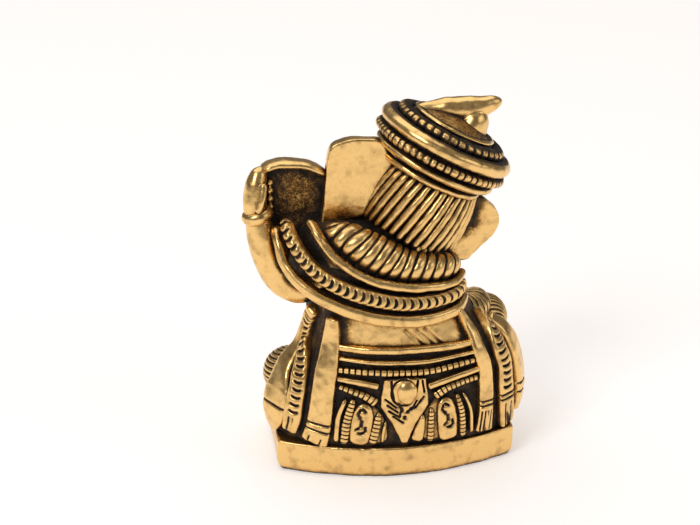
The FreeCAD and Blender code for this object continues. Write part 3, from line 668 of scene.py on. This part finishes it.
skull = [ball("skull", in_head(0, 0, 0), (6.4, 7.1, 7.2), LEAN)]
for side in (1, -1):
    skull.append(ball("brow", in_head(side * 2.4, -4.4, 3.6), (2.9, 2.6, 2.8), LEAN))
    skull.append(ball("cheek", in_head(side * 3.0, -4.6, -2.4), (2.6, 2.4, 2.8), LEAN))
    skull.append(ball("tusk_root", in_head(side * 2.5, -6.0, -3.6), (1.3, 1.6, 1.2), LEAN))
skull.append(ball("lip", in_head(0, -4.6, -5.2), (1.9, 2.0, 1.2), LEAN))
head = joined("head", skull)
remeshed(head, 0.2, 8)
hand_worked(head, 0.06, 2.0)
placed(head, strip_brass, "head")


def facing(*way):
    """The face of a strip that looks one way all along."""
    out = np.array(way) / np.linalg.norm(way)
    return lambda spot: out


facing_front, facing_back, facing_up = facing(0, -1, 0), facing(0, 1, 0), facing(0, 0, 1)

trunk_front = box_mm("trunk")[0][1]
sweet_mid, sweet_half = box_mm("sweet")[2:]
trunk_path = [in_head(0, -4.6, 0.6), in_head(0, -7.6, -2.6), (-1.5, trunk_front + 2.8, CHEST_Z - 0.4),
              (-3.4, trunk_front + 2.2, CHEST_Z - 4.0), sweet_mid + (2.9, -1.5, -1.0),
              sweet_mid + (1.9, -1.2, 0.4),
              sweet_mid + (1.3, -0.7, 1.4)]


def rings_scored(pitch, depth):
    def relief(u, angle, across):
        phase = np.abs((u / pitch) % 1.0 - 0.5) * 2
        front = np.clip(np.sin(np.radians(angle)) + 0.5, 0, 1)
        return -depth * np.clip((phase - 0.7) / 0.3, 0, 1) * front
    return relief


laid("trunk", strip_brass, 0.05, 1.6, trunk_path, [2.7, 2.5, 2.1, 1.7, 1.3, 1.05, 0.9],
     [2.5, 2.3, 1.9, 1.6, 1.2, 1.0, 0.8], facing_front, rings_scored(1.15, 0.2), 2.0, 260, 44)
for side, name, length in ((1, "left_tusk", 3.4), (-1, "right_tusk", 1.5)):
    tusk = drawn(name, [in_head(side * 2.6, -5.8, -3.8), in_head(side * 3.2, -7.2 - length * 0.4, -4.6),
                        in_head(side * 3.7, -7.0 - length, -4.6)], [0.95, 0.8, 0.3], [0.95, 0.8, 0.3],
                 facing_front, None, 2.0, 50, 24)
    hand_worked(tusk, 0.03, 0.8)
    placed(tusk, strip_brass, name)
eye_parts = []
for side in (1, -1):
    eye_parts.append(ball("eye", in_head(side * 3.6, -6.0, 0.2), (1.1, 0.7, 0.62), LEAN, 0, 24))
    for lid, lift in ((1, 0.62), (-1, 0.5)):
        eye_parts.append(drawn("lid", [in_head(side * 2.3, -6.7, 0.1),
                                       in_head(side * 3.6, -6.5, lid * lift + 0.2),
                                       in_head(side * 5.0, -5.4, 0.1)], 0.16, 0.25, facing_front, None, 2.0,
                                       30, 12))
eyes = joined("eyes", eye_parts)
remeshed(eyes, 0.07, 2)
placed(eyes, chased_brass, "eyes")
mark = drawn("forehead_mark", [in_head(0, -7.2, 6.2), in_head(0, -7.7, 4.4), in_head(0, -7.4, 2.9)],
             [0.3, 0.75, 0.4], 0.4, facing_front, None, 2.0, 40, 24)
placed(mark, strip_brass, "forehead_mark")

# ------------------------------------------------------------------------------ ears
# Broad flat plates cut from a wax sheet and pressed to the sides of the head. Their backs are rubbed
# bright, and their fronts have ribs that fan out from the cheek.


def plate(name, outline, place, back, thickness, voxel=0.16, smooth=6):
    """A plate cut from a wax sheet: its outline, extruded and softened. Sizes in millimetres."""
    deselect_all()
    bpy.ops.mesh.primitive_circle_add(vertices=96, radius=MM, fill_type="NGON")
    sheet = bpy.context.object
    sheet.name = name
    loop = [np.array(p + (0.0,)) for p in outline]
    edge = smooth_line(loop[-2:] + loop + loop[:3], np.linspace(0, 1, 400))
    first = np.argmin(np.linalg.norm(edge[:200, :2] - outline[0], axis=1))
    last = 200 + np.argmin(np.linalg.norm(edge[200:, :2] - outline[0], axis=1))
    edge = edge[first:last]
    picks = edge[np.linspace(0, len(edge) - 1, 96, endpoint=False).astype(int)]
    places = np.array([place(x, back, z) for x, z, _ in picks])
    move_points(sheet, places)
    take(sheet)
    modified(sheet, "SOLIDIFY", thickness=thickness * MM, offset=0.0)
    remeshed(sheet, voxel, smooth)
    return sheet


def upright(x, y, z):
    return np.array([x, y, z])


left_outline = [(9.2, 43.6), (8.7, 44.9), (7.0, 45.6), (4.3, 45.8), (1.8, 45.2), (1.2, 44.0), (0.4, 42.4),
                (0.8, 40.4), (1.8, 36.5), (4.9, 34.9), (7.4, 34.5), (9.9, 33.2), (9.8, 37.6), (9.5, 41.1)]
left_ear = plate("left_ear", left_outline, upright, 1.1, 1.8)
places = points_of(left_ear)
ribs = 0.22 * np.cos(np.arctan2(places[:, 0] - 2.0, places[:, 2] - 38.0) * 11)
places[:, 1] -= ribs * np.clip((1.0 - places[:, 1]) / 0.6, 0, 1)           # fan ridges on the front only
move_points(left_ear, places)
hand_worked(left_ear, 0.12, 4.0)
hand_worked(left_ear, 0.02, 0.6)
placed(left_ear, strip_brass, "left_ear")
right_outline = [(-10.6, 36.2), (-12.0, 36.3), (-13.4, 35.3), (-14.6, 33.6), (-14.4, 31.7), (-12.7, 29.6),
                 (-9.5, 27.2), (-8.2, 27.6), (-7.8, 30.3), (-8.4, 33.4)]
right_ear = plate("right_ear", right_outline, upright, -0.4, 1.8)
places = points_of(right_ear)
ribs = 0.2 * np.cos(np.arctan2(places[:, 0] + 6.0, places[:, 2] - 31.0) * 10)
places[:, 1] -= ribs * np.clip((-0.5 - places[:, 1]) / 0.6, 0, 1)
move_points(right_ear, places)
hand_worked(right_ear, 0.16, 2.4)
hand_worked(right_ear, 0.04, 0.6)
skinned(right_ear, lambda p: 0.5 * np.clip((p[:, 2] - 29.5) / 3, 0, 1) * np.clip((13.6 + p[:, 0]) / 2.5, 0,
                                                                                 1))
placed(right_ear, chased_brass, "right_ear")

# ------------------------------------------------------------------------------ hair
# The locks: thin wax cords laid side by side from the turban down the back of the head. Below them
# the hair is gathered into one thick roll, fluted across with a blade.
LOCKS = 18
CURLS = 9


def off_head(spot):
    out = spot - SKULL
    out = out - HEAD_UP * np.dot(out, HEAD_UP)
    return out / np.linalg.norm(out)


locks = []
for i in range(LOCKS):
    turn = math.radians(-84 + 168 * i / (LOCKS - 1))
    path = []
    for height, reach, swing in ((5.4, 6.3, 10.8), (2.6, 6.9, 5.4), (-0.6, 7.1, 0.0), (-3.8, 7.0, -5.4)):
        a = turn - math.radians(swing)
        path.append(in_head(reach * 0.94 * math.sin(a), reach * math.cos(a) + 0.2, height))
    locks.append(drawn("lock", path, [0.5, 0.57, 0.56, 0.46], [0.75, 0.8, 0.8, 0.7], off_head, None, 2.2, 70,
                       20))
for i in range(CURLS):                                         # a second tier of short curls below
    turn = math.radians(-6 - 7.5 * i)
    path = [in_head(6.9 * math.sin(turn), 7.0 * math.cos(turn) + 0.2, height) for height in (-2.9, -4.0,
                                                                                             -5.2)]
    locks.append(drawn("curl", path, 0.42, 0.75, off_head, None, 2.0, 30, 16))
hair = joined("hair_strands", locks)
hand_worked(hair, 0.07, 1.2)
placed(hair, chased_brass, "hair_strands")

roll_path = [(9.2, 3.6, 34.2), (8.6, 5.2, 33.6), (6.9, 6.2, 33.1), (5.0, 6.8, 32.0), (2.7, 7.1, 30.9),
             (0.3, 7.2, 29.8),
             (-2.4, 7.1, 29.2), (-5.3, 6.2, 28.8), (-7.6, 3.8, 28.7)]


def flutes(pitch, depth, slant):
    """Round ribs across a thick roll, with sharp deep grooves between them."""
    def relief(u, angle, across):
        phase = ((u + slant * np.sin(np.radians(angle + 60))) / pitch) % 1.0
        return depth * (np.sqrt(np.clip(1 - (2 * phase - 1) ** 2, 0, 1)) - 1)
    return relief


def off_roll(spot):
    out = np.array([spot[0] * 0.15, 0.9, 0.55])
    return out / np.linalg.norm(out)


laid("hair_roll", chased_brass, 0.06, 1.4, roll_path, [1.5, 2.3, 2.75, 2.85, 2.7, 2.35, 2.1, 1.9, 1.7],
     [1.8, 2.2, 2.5, 2.6, 2.5, 2.4, 2.2, 1.9], off_roll, flutes(1.32, 0.5, 0.7), 2.0, 420, 72, blunt=1.6)

# ------------------------------------------------------------------------------ turban
# Cloth wound round the head in six coils, each a wax cord closed into a ring: a thin plain one, a
# plain one, a nicked one, the thickest and brightest, a beaded one and a small rim. The crown closes
# the middle and a topknot curls out of it to the figure's right.


def coiled(name, node, tube_out, tube_up, relief=None, dark=0.0, major=300, minor=28):
    """A ring of wax cord about the head's axis, where the CAD ring is. Sizes in millimetres.

    Its skin is black where it faces the next coil and in its cuts, and dark adds more all over.
    """
    low, high, middle, half = box_mm(node)
    lean_sine = abs(HEAD_UP[0])
    radius = (half[1] - half[2]) / (1 - lean_sine)
    deselect_all()
    bpy.ops.mesh.primitive_torus_add(major_segments=major, minor_segments=minor, major_radius=10 * MM,
                                     minor_radius=MM)
    coil = bpy.context.object
    coil.name = name
    places = points_of(coil)
    around = np.arctan2(places[:, 1], places[:, 0])
    out = np.hypot(places[:, 0], places[:, 1]) - 10
    angle = np.arctan2(places[:, 2], out)
    push = relief(around * radius, np.degrees(angle), places[:, 2]) if relief else np.zeros(len(places))
    edge = 0.75 * np.clip((np.abs(np.sin(angle)) - 0.72) / 0.25, 0, 1)
    black = np.maximum(edge + dark, 0.85 * np.clip(-push / 0.2, 0, 1))
    reach = radius + (tube_out + push) * np.cos(angle)
    rise = (tube_up + push) * np.sin(angle)
    skinned(coil, lambda places: black)
    move_points(coil, middle + HEAD_SIDE * (reach * np.cos(around))[:, None]
                + np.array([0, 1.0, 0]) * (reach * np.sin(around))[:, None] + HEAD_UP * rise[:, None])
    return coil


crown = ball("turban_crown", box_mm("turban_coil_3")[2] + HEAD_UP * 0.5, (7.7, 7.7, 5.0), LEAN)
hand_worked(crown, 0.1, 1.5)
placed(crown, ground_brass, "turban_crown")
coils = [("turban_coil_1", 0.62, 0.46, None, 0.0, strip_brass),
         ("turban_coil_2", 0.8, 0.54, None, 0.0, strip_brass),
         ("turban_coil_3", 0.9, 0.66, nicks(0.95, 0.3, 0.3), 0.05, chased_brass),
         ("turban_coil_4", 1.2, 1.02, None, 0.0, strip_brass),
         ("turban_coil_5", 1.0, 0.72, nicks(1.12, 0.34, 0.3), 0.22, chased_brass),
         ("turban_coil_6", 0.7, 0.36, None, 0.0, strip_brass)]
for name, tube_out, tube_up, relief, dark, metal in coils:
    coil = coiled(name, name, tube_out, tube_up, relief, dark)
    hand_worked(coil, 0.14, 3.4)
    hand_worked(coil, 0.04, 0.9)
    placed(coil, metal, name)


knot_path = [(-2.6, -0.4, 48.9), (-4.6, -0.5, 48.9), (-7.0, -0.5, 48.8), (-9.4, -0.5, 48.7),
             (-11.4, -0.5, 48.9),
             (-13.3, -0.5, 49.3), (-14.7, -0.5, 49.6)]
horn = drawn("horn", knot_path, [0.7, 1.1, 1.6, 1.8, 1.7, 1.25, 0.8], [0.6, 1.0, 1.5, 1.7, 1.55, 1.15, 0.7],
             facing_back,
             None, 2.0, 120, 48)
neck = ball("neck", (-10.4, -0.3, 46.2), (2.3, 2.3, 3.0), LEAN)
knot = joined("topknot", [horn, neck])
remeshed(knot, 0.14, 6)
hand_worked(knot, 0.10, 2.0)
placed(knot, strip_brass, "topknot")
jewel_mid, jewel_half = box_mm("turban_jewel")[2:]
jewel = ball("turban_jewel", jewel_mid + (0, 0.3, 0), (jewel_half[0] * 0.8, 0.9, jewel_half[2] * 0.95), LEAN,
             0, 32)
placed(jewel, strip_brass, "turban_jewel")

# ------------------------------------------------------------------------------ lifted left arm
# A tapered roll bent up at the elbow, rubbed very bright on its outer side, with one bangle. The
# hand closes on the axe: palm and four fingers melted together.
facing_out = facing(1.0, 0.3, 0.0)


def above(floor, points):
    """Points whose height is given from a level, such as the shoulders' or the slab's top."""
    return [(x, y, floor + z) for x, y, z in points]


arm_path = above(CHEST_Z, [(10.0, 2.4, 1.0), (13.4, 2.6, -0.3), (15.5, 2.6, 0.9), (16.9, 2.5, 3.2),
                           (17.8, 2.5, 6.0), (18.4, 2.5, 8.4), (18.8, 2.4, 10.6)])
laid("left_arm", strip_brass, 0.08, 2.4, arm_path, [1.8, 1.6, 1.75, 2.1, 2.25, 2.1, 1.7],
     [1.8, 1.6, 1.75, 2.0, 2.1, 2.0, 1.6], facing_out, None, 2.0, 200, 48, blunt=0.6)
palm_path = above(CHEST_Z, [(18.9, 2.3, 10.0), (19.1, 2.2, 12.6), (18.9, 1.9, 15.2), (17.9, 1.4, 17.4)])
thumb_path = above(CHEST_Z, [(18.9, 3.9, 11.6), (18.3, 3.9, 13.4), (17.9, 3.2, 15.6)])
fist = [drawn("palm", palm_path, [1.5, 1.6, 1.45, 0.9], [1.5, 1.6, 1.4, 0.9], facing_out, None, 2.0, 90, 36,
              blunt=1.2),
        drawn("thumb", thumb_path, 0.5, 0.45, facing_back, None, 2.0, 40, 16)]
for i in range(4):
    z = CHEST_Z + 11.4 + 1.15 * i
    fist.append(drawn("finger", [(19.8, 1.2, z), (18.6, 0.2, z + 0.1), (17.2, 0.4, z + 0.1), (16.8, 1.3, z)],
                      0.52, 0.5,
                      facing_front, None, 2.0, 30, 16))
left_hand = joined("left_hand", fist)
remeshed(left_hand, 0.12, 4)
hand_worked(left_hand, 0.06, 1.4)
placed(left_hand, strip_brass, "left_hand")


def worn_ring(node, radius, tube, centre, turn, breadth=1.0, wobble=0.04, minor=18):
    """A round wax cord closed about a limb. Sizes in millimetres, turn about X, Y and Z in degrees."""
    deselect_all()
    bpy.ops.mesh.primitive_torus_add(major_segments=120, minor_segments=minor, major_radius=radius * MM,
                                     minor_radius=tube * MM, location=Vector(centre) * MM,
                                     rotation=[math.radians(angle) for angle in turn])
    bpy.ops.transform.resize(value=(1, 1, breadth))
    band = bpy.context.object
    take(band)
    bpy.ops.object.transform_apply(location=True, rotation=True)
    hand_worked(band, wobble, 1.0)
    placed(band, strip_brass, node)


worn_ring("left_bangle", 1.5, 0.62, (18.8, 2.4, CHEST_Z + 10.9), (0, 14, 0), 1.35, 0.05, 20)

# ------------------------------------------------------------------------------ axe
# The axe held up beside the ear: a plate left rough and black from the mould, with a raised, rubbed
# rim along its upper edge.
blade_mid = box_mm("axe_blade")[2]
blade = plate("axe_blade", [(17.6, 34.0), (17.6, 41.0), (16.6, 42.0), (14.2, 42.3), (11.5, 41.8), (9.4, 40.4),
                            (8.9, 36.0), (9.4, 30.6), (11.6, 27.4), (14.2, 26.0), (16.2, 28.4)], upright,
                            blade_mid[1] - 0.1, 1.5)
hand_worked(blade, 0.22, 1.3)
hand_worked(blade, 0.08, 0.5)
placed(blade, ground_brass, "axe_blade")
rim_line = [(18.3, 0.7, 41.6), (16.8, 0.5, 42.3), (14.2, 0.5, 42.5), (11.5, 0.5, 42.0), (9.3, 0.5, 40.7)]
laid("axe_rim", strip_brass, 0.09, 1.6, rim_line, [0.55, 0.6, 0.55, 0.6], [1.5, 1.6, 1.5], facing_back, None,
     2.4, 120, 32)

# ------------------------------------------------------------------------------ legs and feet
# The left leg lies folded along the front and the right knee is raised. Both are tapered rolls with
# the hem of the cloth pressed on as a hatched band.


def hem(at, pitch):
    """The hem of the cloth: a hatched band across the limb at one place along it."""
    def relief(u, angle, across):
        band = np.clip((1.5 - np.abs(u - at)) / 0.2, 0, 1)
        hatch = np.abs((np.asarray(angle) / pitch) % 1.0 - 0.5) * 2
        edges = np.exp(-((np.abs(u - at) - 1.5) / 0.16) ** 2)
        return 0.1 * band - 0.3 * band * np.clip((hatch - 0.5) / 0.4, 0, 1) - 0.3 * edges
    return relief


left_path = above(PLINTH_TOP, [(5.0, -1.6, 4.6), (10.4, -3.6, 4.7), (14.1, -4.7, 4.9), (12.2, -7.0, 3.2),
                               (7.4, -8.0, 2.7), (0.4, -8.9, 2.1)])
laid("left_leg", chased_brass, 0.08, 2.0, left_path, [3.6, 3.8, 3.7, 3.2, 2.6, 1.9],
     [3.6, 3.8, 3.6, 3.0, 2.5, 1.9], facing_up, hem(9.4, 12.0), 2.0, 320, 120, blunt=3.0)
right_path = above(PLINTH_TOP, [(-5.0, -1.6, 5.4), (-10.4, -3.4, 9.2), (-13.9, -4.6, 11.8),
                                (-13.4, -6.6, 9.0), (-12.0, -7.8, 5.2), (-9.8, -8.2, 1.8)])
laid("right_leg", chased_brass, 0.08, 2.0, right_path, [3.6, 3.8, 3.7, 3.1, 2.6, 1.9],
     [3.6, 3.8, 3.6, 3.0, 2.5, 1.8], facing_front, hem(10.5, 12.0), 2.0, 320, 120, blunt=3.0)


def foot(name, node, toes_to):
    """A sole and five toes, melted together."""
    low, high, middle, half = box_mm(node)
    parts = [ball("sole", middle, (half[0] * 0.92, half[1] * 0.85, half[2] * 0.9))]
    for i in range(5):
        spread = (i - 2) / 2
        if toes_to == "side":
            spot = (low[0] + 0.35, middle[1] + spread * half[1] * 0.7, middle[2] - 0.2 + 0.25 * abs(spread))
        else:
            spot = (middle[0] + spread * half[0] * 0.72, low[1] + 0.5 + 0.3 * abs(spread), middle[2] - 0.3)
        parts.append(ball("toe", spot, (0.5, 0.55, 0.48), segments=16))
    piece = joined(name, parts)
    remeshed(piece, 0.1, 3)
    placed(piece, strip_brass, node)


foot("left_foot", "left_foot", "side")
foot("right_foot", "right_foot", "front")
worn_ring("left_anklet", 1.95, 0.42, (box_mm("left_anklet")[2][0], -8.7, PLINTH_TOP + 2.3), (0, 90, 6))

# ------------------------------------------------------------------------------ right arm
# The right forearm rests on the raised knee, with a bangle, an open palm and a sweet on it that the
# trunk reaches for.
palm_mid = box_mm("right_hand")[2]
forearm_path = above(CHEST_Z, [(-5.5, 1.0, -3.2), (-8.8, 0.4, -5.4), (-11.6, -1.8, -6.3), (-12.5, -4.4, -6.2),
                             (-11.2, -7.0, -7.0), (-10.0, -8.6, -7.0)])


def sleeve(u, angle, across):
    """Folds of the sleeve, cut across the forearm."""
    phase = (u / 0.95) % 1.0
    return -0.2 * np.exp(-((phase - 0.5) / 0.14) ** 2) * (u > 3)


laid("right_arm", chased_brass, 0.09, 2.0, forearm_path, [2.4, 2.3, 2.4, 2.4, 1.7, 1.4],
     [2.4, 2.3, 2.4, 2.3, 1.6, 1.3], facing_up, sleeve, 2.0, 300, 90)
palm = [ball("palm", palm_mid, (2.0, 1.9, 0.95))]
for i in range(4):
    x = palm_mid[0] - 1.3 + 0.85 * i
    palm.append(drawn("finger", [(x, palm_mid[1] - 0.9, palm_mid[2]),
                                 (x, palm_mid[1] - 1.9, palm_mid[2] + 0.1),
                                 (x + 0.1, palm_mid[1] - 2.1, palm_mid[2] + 0.7)], 0.42, 0.42, facing_front,
                                 None, 2.0, 24, 14))
right_hand = joined("right_hand", palm)
remeshed(right_hand, 0.1, 3)
placed(right_hand, strip_brass, "right_hand")
worn_ring("right_bangle", 1.75, 0.42, (-10.7, -7.6, CHEST_Z - 7.0), (86, 0, 30))


def drop_pleats(u, angle, across):
    return -0.12 * np.clip(np.cos(np.radians(angle) * 9), 0, 1) * np.clip(u / 0.8, 0, 1)


sweet = drawn("sweet", [sweet_mid - (0, 0, sweet_half[2]), sweet_mid, sweet_mid + (0, 0, sweet_half[2])],
              [1.3, 1.45, 1.1, 0.5, 0.2], [1.3, 1.45, 1.1, 0.5, 0.2], facing_front, drop_pleats, 2.0, 60, 54)
placed(sweet, strip_brass, "sweet")

# ------------------------------------------------------------------------------ table and light
# A plain white sheet, soft daylight from above and from the figure's left, and one camera behind the
# figure, a little above it.
deselect_all()
bpy.ops.mesh.primitive_plane_add(size=6.0)
floor = bpy.context.object
floor.name = "floor"
paper = bpy.data.materials.new("white_paper")
paper.use_nodes = True
paper_shader = paper.node_tree.nodes["Principled BSDF"]
paper_shader.inputs["Base Color"].default_value = linear("#f4f3f3")
paper_shader.inputs["Roughness"].default_value = 0.9
paper_shader.inputs["Emission Color"].default_value = linear("#fff7f0")
paper_shader.inputs["Emission Strength"].default_value = 0.4
floor.data.materials.append(paper)

world = bpy.data.worlds.new("daylight")
bpy.context.scene.world = world
world.use_nodes = True
world.node_tree.nodes["Background"].inputs["Color"].default_value = linear("#c9c6c4")
world.node_tree.nodes["Background"].inputs["Strength"].default_value = 0.31

for name, place, size, power in (("ceiling", (0.05, -0.2, 0.75), 0.9, 3.0),
                                 ("window", (0.5, 0.5, 0.6), 0.35, 2.6),
                                 ("left_card", (-0.6, 0.35, 0.35), 0.4, 0.6)):
    deselect_all()
    bpy.ops.object.light_add(type="AREA", location=place)
    lamp = bpy.context.object
    lamp.name = name
    lamp.data.size = size
    lamp.data.energy = power
    lamp.rotation_euler = (Vector((0, 0, 0.025)) - lamp.location).to_track_quat("-Z", "Y").to_euler()

deselect_all()
bpy.ops.object.camera_add(location=(0.0361, 0.2142, 0.1149))
camera = bpy.context.object
AIM = Vector((0.0058, -0.0016, 0.0269))
camera.rotation_euler = (AIM - camera.location).to_track_quat("-Z", "Y").to_euler()
camera.data.sensor_width = 36.0
camera.data.lens = 87.4
camera.data.clip_start = 0.01
bpy.context.scene.camera = camera
bpy.context.scene.view_settings.view_transform = "Standard"
